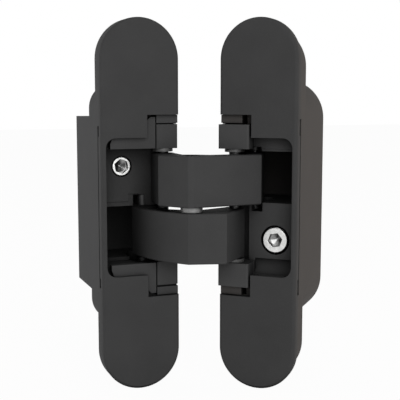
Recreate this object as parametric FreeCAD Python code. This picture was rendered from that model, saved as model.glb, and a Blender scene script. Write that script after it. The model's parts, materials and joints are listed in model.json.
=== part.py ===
"""Concealed invisible door hinge with two crossed arms, standing part open.

Each leaf is drawn in its own frame: u runs across the leaf from the edge beside the
other leaf, w runs into the door or the frame from the cover's face, and z is up.
The left leaf's frame is mirrored when it is placed, so both leaves share one drawing.
All sizes are in millimetres.
"""
import FreeCAD, Part
import math
import os

V = FreeCAD.Vector
ALONG_Z = V(0, 0, 1)
ALONG_W = V(0, 1, 0)
ORIGIN = V(0, 0, 0)

# Leaf outline and covers
LEAF_HEIGHT = 111.0
LEAF_WIDTH = 24.0
COVER_DEPTH = 3.0
COVER_WALL = 1.2
COVER_EDGE = 0.65
COVER_EDGE_BREAK = 0.25
SKIRT_WIDTH = 1.5
WINDOW_HALF_HEIGHT = 20.6
WINDOW_CORNER = 3.0
NOTCH_WIDTH = 9.95
NOTCH_HALF_HEIGHT = 27.3
PEG_RADIUS = 1.5
PEG_LENGTH = 2.3
PEG_END_DISTANCE = 15.0

# Body castings
LEFT_FLANGE_THICKNESS = 3.0
RIGHT_FLANGE_THICKNESS = 5.4
RIGHT_FLANGE_INSET = 2.2
BODY_DEPTH = 31.5
BODY_BACK_WALL = 2.5
LEFT_STEP_DEPTH = 13.8
LEFT_STEP_HALF_HEIGHT = 36.7
LEFT_STEP_CORNER = 7.5
BLOCK_EDGE = 0.5
RIGHT_BODY_HALF_HEIGHT = 37.8
POCKET_INNER_WALL = 1.6
POCKET_OUTER_WALL = 1.8
POCKET_END_GAP = 0.12
POCKET_END_WALL = 1.88
POCKET_CORNER = 0.35
INNER_WALL_START = 10.2
SLIT_DEPTH = 1.2
SLIT_WIDTH = 0.8
LEFT_SLIT_HALF_HEIGHT = 24.0
RIGHT_SLIT_HALF_HEIGHT = 26.1
LEFT_RELIEF_HEIGHT = 3.0
RIGHT_RELIEF_HEIGHT = 4.8
RELIEF_WIDTH = 0.8
LAND_WIDTH = 6.6
LAND_FACE = 1.6
LAND_RIM = 0.3
LAND_RIM_DEPTH = 1.2
LAND_GAP = 1.2

# Fixing screw holes in the flanges
FIXING_HOLE_RADIUS = 2.3
FIXING_HEAD_RADIUS = 4.4
FIXING_SINK_DEPTH = 2.1
FIXING_SPACING = 10.0
FIXING_END_DISTANCE = 9.5

# Knuckles: where the pins stand in their own leaf, and the lugs around them
LEFT_KNUCKLE_U = 3.5
LEFT_KNUCKLE_W = 5.2
RIGHT_KNUCKLE_U = 3.8
RIGHT_KNUCKLE_W = 3.2
KNUCKLE_PIN_RADIUS = 1.75
LUG_INNER_FACE = 17.2
LUG_OUTER_FACE = 24.4
LUG_EDGE_ROUND = 0.6
LEFT_LUG_FRONT = 2.2
LEFT_LUG_EDGE = 6.6
LEFT_LUG_OVERHANG = -0.3
LUG_BACK = 9.0
RIGHT_LUG_FRONT = -0.3
RIGHT_LUG_EDGE = 9.3
RIGHT_LUG_OVERHANG = 0.3
BUSH_RADIUS = 2.45
BUSH_FLANGE_RADIUS = 3.05
BUSH_FLANGE = 1.0

# Carriers
LEFT_CARRIER_FRONT = 4.95
LEFT_CARRIER_BACK = 27.4
LEFT_CARRIER_SIDE_GAP = 0.2
LEFT_BLOCK_FRONT = 10.3
LEFT_END_STEP = 14.0
LEFT_END_STEP_DROP = 1.0
RIGHT_CARRIER_FRONT = 5.0
RIGHT_CARRIER_BACK = 28.8
RIGHT_CARRIER_SIDE_GAP = 1.0
RIGHT_BLOCK_FRONT = 6.3
RIGHT_BLOCK_EDGE = 7.4
RIGHT_BLOCK_STEP = 9.6
RIGHT_END_DROP = 0.8
SPINE_WIDTH = 2.4
LEFT_SPINE_START = 12.0
RIGHT_SPINE_START = 20.5
COVE_RADIUS = 2.5
LEFT_GROOVE_DEPTH = 3.4
RIGHT_GROOVE_DEPTH = 2.7
LEFT_END_GROOVE_DEPTH = 3.0
RIGHT_END_GROOVE_DEPTH = 1.3
LEFT_ENTRY_U = 9.7
RIGHT_ENTRY_U = 9.9
RIM_HEIGHT = 1.4
RIM_DEPTH = 0.3
RIM_SIDE = 1.5

# Keeper plates
KEEPER_FACE = 1.8
KEEPER_SEAT = 4.0
KEEPER_GAP = 0.1
KEEPER_SCREW_U = 15.5
KEEPER_SCREW_Z = 28.4
KEEPER_SCREW_RADIUS = 1.2
KEEPER_SCREW_HEAD = 2.3
KEEPER_SCREW_LENGTH = 8.2
KEEPER_SOCKET = 1.5

# Depth screw of the left leaf and side screw of the right leaf
DEPTH_SCREW_U = 15.0
DEPTH_SCREW_Z = 11.5
DEPTH_SCREW_RADIUS = 2.45
DEPTH_HEAD_RADIUS = 3.0
DEPTH_HEAD_FACE = 10.4
DEPTH_HEAD_LENGTH = 2.5
DEPTH_SOCKET = 4.0
DEPTH_SOCKET_TURN = 20
SIDE_SCREW_U = 15.75
SIDE_SCREW_Z = -10.5
SIDE_SCREW_RADIUS = 3.0
SIDE_HEAD_RADIUS = 3.95
SIDE_HEAD_FACE = 6.0
SIDE_HEAD_LENGTH = 3.0
SIDE_HEAD_SINK = 4.5
SIDE_SOCKET = 4.0
SIDE_SOCKET_TURN = 10
SIDE_OFFSET = 1.0
SIDE_TIP_RADIUS = 1.5
SIDE_SWING = 30.0
SOCKET_DEPTH = 2.0
SOCKET_DRILL_GAP = 0.1
SOCKET_DRILL_DEPTH = 0.9
DRILL_POINT = 0.25
RING_THICKNESS = 0.45
RING_RADIUS = 4.2
RING_GROOVE = 0.55

# Arms
ARM_HEIGHT = 14.85
ARM_GAP = 1.6
CREASE_OFFSET = 4.8
CREASE_WIDTH = 1.8
EYE_RADIUS = 3.5
LOWER_EYE_RADIUS = 3.1
SLIDE_EYE_RADIUS = 2.8
ARM_EDGE = 0.3
CENTRE_PIN_RADIUS = 2.4
CENTRE_WASHER_RADIUS = 3.25
SLIDE_PIN_RADIUS = 1.1
SHOE_RADIUS = 1.6
UPPER_SLIDE_REACH = 24.9
UPPER_SLIDE_ANGLE = 39.4
LOWER_SLIDE_REACH = 22.5
LOWER_SLIDE_ANGLE = 46.0

# How the hinge stands at rest, and its travel
REST_OPENING = 137.4
FULL_OPENING = 180.0
REST_GAP = 11.95
CLOSED_GAP = 4.0
REST_CENTRE_ACROSS = -2.2
REST_CENTRE_FORWARD = 7.8

# Clearances
PRESS_GAP = 0.01
RUNNING_GAP = 0.05
SLIDE_GAP = 0.12
RELIEF_GAP = 0.35
FACE_GAP = 0.1
HEAD_GAP = 0.2
HEAD_EDGE = 0.3
DEPTH_TIP_GAP = 1.0
SIDE_TIP_GAP = 0.3
PEG_HOLE_GAP = 0.2
GROOVE_END_GAP = 0.2


def box(u0, u1, w0, w1, z0, z1):
    return Part.makeBox(u1 - u0, w1 - w0, z1 - z0, V(u0, w0, z0))


def post(u, w, radius, z0, z1):
    """Cylinder standing along z."""
    return Part.makeCylinder(radius, z1 - z0, V(u, w, z0), ALONG_Z)


def rod(u, z, radius, w0, w1):
    """Cylinder lying along w."""
    return Part.makeCylinder(radius, w1 - w0, V(u, w0, z), ALONG_W)


def taper(u, z, radius0, radius1, w0, w1):
    """Cone lying along w."""
    return Part.makeCone(radius0, radius1, w1 - w0, V(u, w0, z), ALONG_W)


def fuse(first, *others):
    return first.multiFuse(list(others)).removeSplitter()


def prism(outline, lift):
    return Part.Face(Part.makePolygon(outline + outline[:1])).extrude(lift)


def plan_prism(points, z0, z1):
    """Outline in plan, raised from z0 to z1."""
    return prism([V(x, y, z0) for x, y in points], V(0, 0, z1 - z0))


def face_prism(points, w0, w1):
    """Outline on the leaf's face, sunk from w0 to w1."""
    return prism([V(u, w0, z) for u, z in points], V(0, w1 - w0, 0))


def hexagon(u, z, across_flats, w0, w1, turn=0):
    radius = across_flats / math.sqrt(3.0)
    corners = [math.radians(turn + 60 * i) for i in range(6)]
    return face_prism([(u + radius * math.cos(a), z + radius * math.sin(a)) for a in corners], w0, w1)


def rounded_plate(u0, u1, half_height, corner, w0, w1):
    """Plate on the leaf's face with four rounded corners."""
    plate = box(u0, u1, w0, w1, -half_height, half_height)
    corner = min(corner, (u1 - u0) / 2, half_height)
    if corner >= (u1 - u0) / 2 - 1e-6:
        straight = half_height - corner
        middle = (u0 + u1) / 2
        plate = box(u0, u1, w0, w1, -straight, straight)
        ends = [rod(middle, z, corner, w0, w1) for z in (-straight, straight)]
        return fuse(plate, *ends)
    upright = [e for e in plate.Edges if abs(e.tangentAt(e.FirstParameter).y) > 0.99]
    return plate.makeFillet(corner, upright)


def swept_slot(path, radius, z0, z1):
    """Room for a round pin that moves along the path, in plan."""
    parts = [post(x, y, radius, z0, z1) for x, y in path]
    for (x0, y0), (x1, y1) in zip(path[:-1], path[1:]):
        length = math.hypot(x1 - x0, y1 - y0)
        bar = box(0, length, -radius, radius, z0, z1)
        bar.rotate(ORIGIN, ALONG_Z, math.degrees(math.atan2(y1 - y0, x1 - x0)))
        bar.translate(V(x0, y0, 0))
        parts.append(bar)
    return fuse(*parts)


def mirrored_up(shape):
    """The same piece at the lower end of the leaf."""
    return shape.mirror(ORIGIN, ALONG_Z)


def edges_where(shape, test):
    return [e for e in shape.Edges if all(test(v.Point) for v in e.Vertexes) and test(e.CenterOfMass)]


# Linkage geometry, in plan. "Stage" coordinates stand symmetric between the leaves at rest:
# x to the right, y away from the viewer, origin midway between the two inner edges.
HALF_FOLD = (FULL_OPENING - REST_OPENING) / 2
LEFT_KNUCKLE = (LEFT_KNUCKLE_U, LEFT_KNUCKLE_W)
RIGHT_KNUCKLE = (RIGHT_KNUCKLE_U, RIGHT_KNUCKLE_W)
REST_CENTRE = (REST_CENTRE_ACROSS, -REST_CENTRE_FORWARD)


def leaf_to_stage(side, point):
    """Point of a leaf's plan (u, w) in stage coordinates; side is -1 for the left leaf."""
    fold = math.radians(HALF_FOLD)
    u, w = point
    x = REST_GAP / 2 + u * math.cos(fold) + w * math.sin(fold)
    y = -u * math.sin(fold) + w * math.cos(fold)
    return side * x, y


def stage_to_leaf(side, point):
    fold = math.radians(HALF_FOLD)
    x = side * point[0] - REST_GAP / 2
    y = point[1]
    return x * math.cos(fold) - y * math.sin(fold), x * math.sin(fold) + y * math.cos(fold)


def swing_angle(pivot, point):
    """Angle of a leaf-frame point about a pivot, from +u towards the front of the leaf."""
    return math.degrees(math.atan2(pivot[1] - point[1], point[0] - pivot[0]))


def distance(a, b):
    return math.hypot(a[0] - b[0], a[1] - b[1])


def closed_centre(left_reach, right_reach):
    """Centre pin in the left and right leaf frames when the leaves face each other."""
    left = (-(CLOSED_GAP / 2 + LEFT_KNUCKLE_W), LEFT_KNUCKLE_U)
    right = (CLOSED_GAP / 2 + RIGHT_KNUCKLE_W, RIGHT_KNUCKLE_U)
    apart = distance(left, right)
    along = (left_reach ** 2 - right_reach ** 2 + apart ** 2) / (2 * apart)
    rise = math.sqrt(left_reach ** 2 - along ** 2)
    ex = (right[0] - left[0]) / apart
    ey = (right[1] - left[1]) / apart
    x = left[0] + along * ex - rise * ey
    y = left[1] + along * ey + rise * ex
    return (y, -x - CLOSED_GAP / 2), (y, x - CLOSED_GAP / 2)


LEFT_REACH = distance(stage_to_leaf(-1, REST_CENTRE), LEFT_KNUCKLE)
RIGHT_REACH = distance(stage_to_leaf(1, REST_CENTRE), RIGHT_KNUCKLE)
CLOSED_LEFT, CLOSED_RIGHT = closed_centre(LEFT_REACH, RIGHT_REACH)
LEFT_TURN = swing_angle(LEFT_KNUCKLE, stage_to_leaf(-1, REST_CENTRE)) - swing_angle(LEFT_KNUCKLE, CLOSED_LEFT)
RIGHT_SWING = swing_angle(RIGHT_KNUCKLE, stage_to_leaf(1, REST_CENTRE))
RIGHT_TURN = RIGHT_SWING - swing_angle(RIGHT_KNUCKLE, CLOSED_RIGHT)
CENTRE_TURN = LEFT_TURN + RIGHT_TURN - REST_OPENING
OPEN_SHARE = (FULL_OPENING - REST_OPENING) / REST_OPENING


def turned(point, pivot, degrees):
    """Point turned about a pivot in plan, anticlockwise seen from above."""
    a = math.radians(degrees)
    dx = point[0] - pivot[0]
    dy = point[1] - pivot[1]
    x = pivot[0] + dx * math.cos(a) - dy * math.sin(a)
    y = pivot[1] + dx * math.sin(a) + dy * math.cos(a)
    return x, y


def seen_from_left_leaf(point, arm, travel):
    """Stage point fixed to an arm, as the left leaf sees it; travel is 0 at rest and -1 closed."""
    if arm == "lower":
        point = turned(point, REST_CENTRE, -travel * CENTRE_TURN)
    return turned(point, leaf_to_stage(-1, LEFT_KNUCKLE), travel * LEFT_TURN)


def seen_from_right_leaf(point, arm, travel):
    """The same for the right leaf, whose frame turns the other way."""
    if arm == "upper":
        point = turned(point, REST_CENTRE, travel * CENTRE_TURN)
    return turned(point, leaf_to_stage(1, RIGHT_KNUCKLE), -travel * RIGHT_TURN)


def travel_steps(count):
    """Positions from closed to fully open."""
    return [-1 + (1 + OPEN_SHARE) * i / (count - 1) for i in range(count)]


def from_centre(reach, degrees, side):
    a = math.radians(degrees)
    return REST_CENTRE[0] + side * reach * math.cos(a), REST_CENTRE[1] + reach * math.sin(a)


UPPER_SLIDE = from_centre(UPPER_SLIDE_REACH, UPPER_SLIDE_ANGLE, 1)
LOWER_SLIDE = from_centre(LOWER_SLIDE_REACH, LOWER_SLIDE_ANGLE, -1)
STEPS = 9
UPPER_TRACK = [stage_to_leaf(1, seen_from_right_leaf(UPPER_SLIDE, "upper", t)) for t in travel_steps(STEPS)]
LOWER_TRACK = [stage_to_leaf(-1, seen_from_left_leaf(LOWER_SLIDE, "lower", t)) for t in travel_steps(STEPS)]


def right_pin_seen_from_upper_arm(travel):
    point = turned(leaf_to_stage(1, RIGHT_KNUCKLE), REST_CENTRE, -travel * CENTRE_TURN)
    return point


def left_pin_seen_from_lower_arm(travel):
    """The left knuckle pin stands still, so the arm's own turns are undone."""
    return turned(leaf_to_stage(-1, LEFT_KNUCKLE), REST_CENTRE, travel * CENTRE_TURN)


# Placing: the left leaf stands square, with the back of its flange centred on the origin.
LEFT_EDGE = (LEAF_WIDTH / 2, -(COVER_DEPTH + LEFT_FLANGE_THICKNESS))
RIGHT_EDGE_STAGE = leaf_to_stage(1, (0.0, 0.0))
LEFT_EDGE_STAGE = leaf_to_stage(-1, (0.0, 0.0))


def stage_to_row(point):
    x, y = turned((point[0] - LEFT_EDGE_STAGE[0], point[1] - LEFT_EDGE_STAGE[1]), (0.0, 0.0), -HALF_FOLD)
    return x + LEFT_EDGE[0], y + LEFT_EDGE[1]


def place_left(shape):
    placed = shape.mirror(ORIGIN, V(1, 0, 0))
    placed.translate(V(LEFT_EDGE[0], LEFT_EDGE[1], 0))
    return placed


def place_right(shape):
    placed = shape.copy()
    placed.rotate(ORIGIN, ALONG_Z, -2 * HALF_FOLD)
    x, y = stage_to_row(RIGHT_EDGE_STAGE)
    placed.translate(V(x, y, 0))
    return placed


def place_stage(shape):
    placed = shape.copy()
    placed.translate(V(-LEFT_EDGE_STAGE[0], -LEFT_EDGE_STAGE[1], 0))
    placed.rotate(ORIGIN, ALONG_Z, -HALF_FOLD)
    placed.translate(V(LEFT_EDGE[0], LEFT_EDGE[1], 0))
    return placed


# Sizes that follow from the ones above
ARM_TOP = ARM_GAP / 2 + ARM_HEIGHT
FIXING_HEIGHT = LEAF_HEIGHT / 2 - FIXING_END_DISTANCE
PEG_HEIGHT = LEAF_HEIGHT / 2 - PEG_END_DISTANCE
POCKET_HALF_HEIGHT = LUG_OUTER_FACE + POCKET_END_GAP
DEPTH_NECK = DEPTH_HEAD_FACE + DEPTH_HEAD_LENGTH
LEFT_BLOCK_HALF_HEIGHT = POCKET_HALF_HEIGHT + POCKET_END_WALL
LEFT_BLOCK_UNDERSIDE = -ARM_GAP / 2 + FACE_GAP
RIGHT_BLOCK_TOP = ARM_GAP / 2 - FACE_GAP
RIGHT_END_FACE = LUG_INNER_FACE - RIGHT_END_DROP
POCKET_OUTER = LEAF_WIDTH - POCKET_OUTER_WALL
POCKET_FLOOR = BODY_DEPTH - BODY_BACK_WALL
FLANGE_FACE = COVER_DEPTH
PEG_HOLE_BOTTOM = FLANGE_FACE + PEG_LENGTH + PEG_HOLE_GAP
WINDOW_EDGE = LEAF_WIDTH - SKIRT_WIDTH
KEEPER_TOP = KEEPER_SCREW_Z + KEEPER_SCREW_HEAD + 0.8
KEEPER_INNER = KEEPER_SCREW_U - KEEPER_SCREW_HEAD - 1.7
KEEPER_OUTER = KEEPER_SCREW_U + KEEPER_SCREW_HEAD + 1.7
LEFT_KEEPER_EDGE = LEFT_LUG_EDGE + 0.3
LEFT_KEEPER_SIDE = POCKET_OUTER - 1.5


def left_keeper_outline(grow):
    """L-shaped plate beside the knuckle lug, with its corners cut off."""
    bottom = LUG_INNER_FACE + FACE_GAP - grow
    tip = NOTCH_HALF_HEIGHT - 0.7 + grow
    cut = 1.5
    return [
        (LEFT_KEEPER_EDGE - grow, bottom),
        (LEFT_KEEPER_SIDE + grow, bottom),
        (LEFT_KEEPER_SIDE + grow, bottom + cut),
        (KEEPER_OUTER + grow, bottom + cut + 3.0),
        (KEEPER_OUTER + grow, KEEPER_TOP + grow),
        (KEEPER_INNER - grow, KEEPER_TOP + grow),
        (KEEPER_INNER - grow, tip - cut),
        (NOTCH_WIDTH + grow, tip - cut),
        (NOTCH_WIDTH - cut + grow, tip),
        (LEFT_KEEPER_EDGE - grow, tip),
    ]


def right_keeper_outline(grow):
    """Plain tongue that stays under the cover."""
    bottom = WINDOW_HALF_HEIGHT + 0.3 - grow
    return [
        (KEEPER_INNER - grow, bottom),
        (KEEPER_OUTER + grow, bottom),
        (KEEPER_OUTER + grow, KEEPER_TOP + grow),
        (KEEPER_INNER - grow, KEEPER_TOP + grow),
    ]


def make_keeper(outline):
    plate = face_prism(outline(0.0), KEEPER_FACE, KEEPER_SEAT)
    sink = KEEPER_SCREW_HEAD - KEEPER_SCREW_RADIUS
    hole = rod(KEEPER_SCREW_U, KEEPER_SCREW_Z, KEEPER_SCREW_RADIUS + PRESS_GAP, 0, KEEPER_SEAT + 1)
    head = taper(KEEPER_SCREW_U, KEEPER_SCREW_Z, KEEPER_SCREW_HEAD + PRESS_GAP,
                 KEEPER_SCREW_RADIUS + PRESS_GAP, KEEPER_FACE, KEEPER_FACE + sink)
    return plate.cut(fuse(hole, head))


def make_keeper_screw():
    sink = KEEPER_SCREW_HEAD - KEEPER_SCREW_RADIUS
    head = taper(KEEPER_SCREW_U, KEEPER_SCREW_Z, KEEPER_SCREW_HEAD, KEEPER_SCREW_RADIUS,
                 KEEPER_FACE, KEEPER_FACE + sink)
    shank = rod(KEEPER_SCREW_U, KEEPER_SCREW_Z, KEEPER_SCREW_RADIUS,
                KEEPER_FACE + sink, KEEPER_FACE + KEEPER_SCREW_LENGTH)
    socket = hexagon(KEEPER_SCREW_U, KEEPER_SCREW_Z, KEEPER_SOCKET, KEEPER_FACE - 1, KEEPER_FACE + 1.0)
    return fuse(head, shank).cut(socket)


def make_cover(slit_half_height, relief_height):
    """Thin cap with a skirt, open over the pocket and notched beside the other leaf."""
    half = LEAF_HEIGHT / 2
    cap = rounded_plate(0, LEAF_WIDTH, half, LEAF_WIDTH / 2, 0, COVER_DEPTH)
    cap = cap.makeChamfer(COVER_EDGE, edges_where(cap, lambda p: p.y < 1e-6))
    cap = cap.makeChamfer(COVER_EDGE_BREAK, edges_where(cap, lambda p: p.y < 1e-6))
    cap = cap.makeChamfer(COVER_EDGE_BREAK, edges_where(cap, lambda p: abs(p.y - COVER_EDGE) < 1e-6))
    hollow = rounded_plate(SKIRT_WIDTH, WINDOW_EDGE, half - SKIRT_WIDTH, LEAF_WIDTH / 2,
                           COVER_WALL, COVER_DEPTH)
    window = rounded_plate(-LEAF_WIDTH, WINDOW_EDGE, WINDOW_HALF_HEIGHT, WINDOW_CORNER, -1, COVER_DEPTH + 1)
    notch = box(-1, NOTCH_WIDTH, -1, COVER_DEPTH + 1, -NOTCH_HALF_HEIGHT, NOTCH_HALF_HEIGHT)
    cap = cap.cut(fuse(hollow, window, notch))
    for z in (-PEG_HEIGHT, PEG_HEIGHT):
        peg = rod(LEAF_WIDTH / 2, z, PEG_RADIUS, COVER_WALL - 0.2, COVER_DEPTH + PEG_LENGTH)
        cap = fuse(cap, peg)
    for z in (slit_half_height - relief_height, -slit_half_height):
        relief = box(WINDOW_EDGE - 1, LEAF_WIDTH + 1, COVER_DEPTH - RELIEF_WIDTH, COVER_DEPTH + 1,
                     z, z + relief_height)
        cap = cap.cut(relief)
    return cap


def fixing_holes(flange_back):
    holes = []
    for z in (-FIXING_HEIGHT, FIXING_HEIGHT):
        for u in (LEAF_WIDTH / 2 - FIXING_SPACING / 2, LEAF_WIDTH / 2 + FIXING_SPACING / 2):
            holes.append(rod(u, z, FIXING_HOLE_RADIUS, FLANGE_FACE - 1, flange_back + 1))
            holes.append(taper(u, z, FIXING_HEAD_RADIUS, FIXING_HOLE_RADIUS, FLANGE_FACE,
                               FLANGE_FACE + FIXING_SINK_DEPTH))
    return holes


def finish_body(casting, flange_back, slit_half_height, keeper_outline):
    """Cuts that both bodies share: pocket, open inner side, slit, screw holes and keeper seats."""
    pocket = rounded_plate(POCKET_INNER_WALL, POCKET_OUTER, POCKET_HALF_HEIGHT, POCKET_CORNER,
                           LAND_FACE - 1, POCKET_FLOOR)
    way_in = box(-1, POCKET_INNER_WALL + POCKET_CORNER + 0.5, LAND_FACE - 1, INNER_WALL_START,
                 -POCKET_HALF_HEIGHT, POCKET_HALF_HEIGHT)
    slit = box(LEAF_WIDTH - SLIT_DEPTH, LEAF_WIDTH + 1, FLANGE_FACE - 1, FLANGE_FACE + SLIT_WIDTH,
               -slit_half_height, slit_half_height)
    cuts = [pocket, way_in, slit] + fixing_holes(flange_back)
    for z in (-PEG_HEIGHT, PEG_HEIGHT):
        cuts.append(rod(LEAF_WIDTH / 2, z, PEG_RADIUS + RUNNING_GAP, FLANGE_FACE - 1, PEG_HOLE_BOTTOM))
    seat = face_prism(keeper_outline(KEEPER_GAP), LAND_FACE, KEEPER_SEAT)
    tapped = rod(KEEPER_SCREW_U, KEEPER_SCREW_Z, KEEPER_SCREW_RADIUS + PRESS_GAP, FLANGE_FACE,
                 KEEPER_FACE + KEEPER_SCREW_LENGTH + 0.5)
    clear_of_land = box(LAND_WIDTH, LAND_WIDTH + LAND_GAP, LAND_FACE - 1, FLANGE_FACE + 6,
                        POCKET_HALF_HEIGHT - 1, NOTCH_HALF_HEIGHT - FACE_GAP)
    for shape in (seat, tapped, clear_of_land):
        cuts.append(shape)
        cuts.append(mirrored_up(shape))
    return casting.cut(cuts[0].multiFuse(cuts[1:]))


def land():
    """Raised corner of the body that shows in the cover's notch, with its lower rim set back."""
    corner = box(0, LAND_WIDTH, LAND_FACE, FLANGE_FACE + 1, POCKET_HALF_HEIGHT, NOTCH_HALF_HEIGHT - FACE_GAP)
    set_back = box(-1, LAND_WIDTH + 1, LAND_FACE - 1, LAND_FACE + LAND_RIM_DEPTH,
                   0, POCKET_HALF_HEIGHT + LAND_RIM)
    return corner.cut(set_back)


def make_left_body():
    flange_back = FLANGE_FACE + LEFT_FLANGE_THICKNESS
    flange = rounded_plate(0, LEAF_WIDTH, LEAF_HEIGHT / 2, LEAF_WIDTH / 2, FLANGE_FACE, flange_back)
    step = rounded_plate(0, LEAF_WIDTH, LEFT_STEP_HALF_HEIGHT, LEFT_STEP_CORNER,
                         FLANGE_FACE + 1, LEFT_STEP_DEPTH)
    block = box(0, LEAF_WIDTH, FLANGE_FACE + 1, BODY_DEPTH, -LEFT_BLOCK_HALF_HEIGHT, LEFT_BLOCK_HALF_HEIGHT)
    block = block.makeChamfer(BLOCK_EDGE, edges_where(block, lambda p: p.y > BODY_DEPTH - 1e-6))
    casting = fuse(flange, step, block, land(), mirrored_up(land()))
    casting = finish_body(casting, flange_back, LEFT_SLIT_HALF_HEIGHT, left_keeper_outline)
    thread = rod(DEPTH_SCREW_U, DEPTH_SCREW_Z, DEPTH_SCREW_RADIUS + RUNNING_GAP,
                 POCKET_FLOOR - 1, BODY_DEPTH + 1)
    return casting.cut(thread)


def make_right_body():
    flange_back = FLANGE_FACE + RIGHT_FLANGE_THICKNESS
    flange = rounded_plate(0, LEAF_WIDTH, LEAF_HEIGHT / 2 - RIGHT_FLANGE_INSET, LEAF_WIDTH / 2, FLANGE_FACE,
                           flange_back)
    block = rounded_plate(0, LEAF_WIDTH, RIGHT_BODY_HALF_HEIGHT, LEAF_WIDTH / 2, FLANGE_FACE + 1, BODY_DEPTH)
    block = block.makeChamfer(BLOCK_EDGE, edges_where(block, lambda p: p.y > BODY_DEPTH - 1e-6))
    casting = fuse(flange, block, land(), mirrored_up(land()))
    casting = finish_body(casting, flange_back, RIGHT_SLIT_HALF_HEIGHT, right_keeper_outline)
    half_width = SIDE_TIP_RADIUS + RUNNING_GAP
    drop = SIDE_OFFSET * (1 - math.cos(math.radians(SIDE_SWING))) + RUNNING_GAP
    low = SIDE_SCREW_Z + SIDE_OFFSET - drop
    high = SIDE_SCREW_Z + SIDE_OFFSET + RUNNING_GAP
    through = (POCKET_FLOOR - 1, BODY_DEPTH + 1)
    slot = fuse(rod(SIDE_SCREW_U, low, half_width, *through), rod(SIDE_SCREW_U, high, half_width, *through),
                box(SIDE_SCREW_U - half_width, SIDE_SCREW_U + half_width, through[0], through[1], low, high))
    return casting.cut(slot)


def make_lug(front, overhang, edge):
    lug = box(overhang, edge, front, LUG_BACK, LUG_INNER_FACE, LUG_OUTER_FACE)
    front_uprights = edges_where(lug, lambda p: p.y < front + 1e-6)
    front_uprights = [e for e in front_uprights if abs(e.tangentAt(e.FirstParameter).z) > 0.99]
    return lug.makeFillet(LUG_EDGE_ROUND, front_uprights)


def track_slot(track, entry_u, front, z0, z1):
    """Curved groove for a slide shoe, with a straight way in from the block's front."""
    radius = SHOE_RADIUS + SLIDE_GAP
    shallow = min(w for u, w in track)
    way_in = box(entry_u - radius, entry_u + radius, front - 1, shallow + radius, z0, z1)
    return fuse(swept_slot(track, radius, z0, z1), way_in)


def rim(u0, u1, front, z0, z1):
    """Shallow step along the edge of a block's front face."""
    return box(u0, u1, front - 1, front + RIM_DEPTH, z0, z1)


def make_left_carrier():
    inner = POCKET_INNER_WALL + LEFT_CARRIER_SIDE_GAP
    outer = POCKET_OUTER - LEFT_CARRIER_SIDE_GAP
    end = box(inner, outer, LEFT_CARRIER_FRONT, LEFT_CARRIER_BACK, LUG_INNER_FACE, LUG_OUTER_FACE)
    lug = make_lug(LEFT_LUG_FRONT, LEFT_LUG_OVERHANG, LEFT_LUG_EDGE)
    block = box(inner, outer, LEFT_BLOCK_FRONT, LEFT_CARRIER_BACK, LEFT_BLOCK_UNDERSIDE, LUG_INNER_FACE + 1)
    spine = box(outer - SPINE_WIDTH, outer, LEFT_SPINE_START, LEFT_CARRIER_BACK, -LUG_INNER_FACE - 1,
                LEFT_BLOCK_UNDERSIDE + 1)
    casting = fuse(end, mirrored_up(end), lug, mirrored_up(lug), block, spine)
    groove_top = LEFT_BLOCK_UNDERSIDE + LEFT_GROOVE_DEPTH
    entry_side = LEFT_ENTRY_U + SHOE_RADIUS + SLIDE_GAP
    cuts = [
        post(LEFT_KNUCKLE_U, LEFT_KNUCKLE_W, BUSH_RADIUS + PRESS_GAP, -LEAF_HEIGHT, LEAF_HEIGHT),
        rod(DEPTH_SCREW_U, DEPTH_SCREW_Z, DEPTH_SCREW_RADIUS + RUNNING_GAP, 0, BODY_DEPTH),
        rod(DEPTH_SCREW_U, DEPTH_SCREW_Z, DEPTH_HEAD_RADIUS + HEAD_GAP, 0, DEPTH_NECK),
        rim(entry_side, outer + 1, LEFT_BLOCK_FRONT, LEFT_BLOCK_UNDERSIDE - 1,
            LEFT_BLOCK_UNDERSIDE + RIM_HEIGHT),
        rim(LEFT_ENTRY_U, entry_side + RIM_SIDE, LEFT_BLOCK_FRONT, LEFT_BLOCK_UNDERSIDE,
            groove_top + RIM_DEPTH),
        track_slot(LOWER_TRACK, LEFT_ENTRY_U, LEFT_BLOCK_FRONT, LEFT_BLOCK_UNDERSIDE - 1, groove_top),
        swept_slot(LOWER_TRACK, SHOE_RADIUS + SLIDE_GAP, -LUG_INNER_FACE - LEFT_END_GROOVE_DEPTH,
                   -LUG_INNER_FACE + 1),
        box(LEFT_LUG_EDGE, outer + 1, 0, LEFT_END_STEP, -LUG_INNER_FACE - LEFT_END_STEP_DROP,
            -LUG_INNER_FACE + 1),
    ]
    for shape in cuts:
        casting = casting.cut(shape)
    return casting.removeSplitter()


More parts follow.
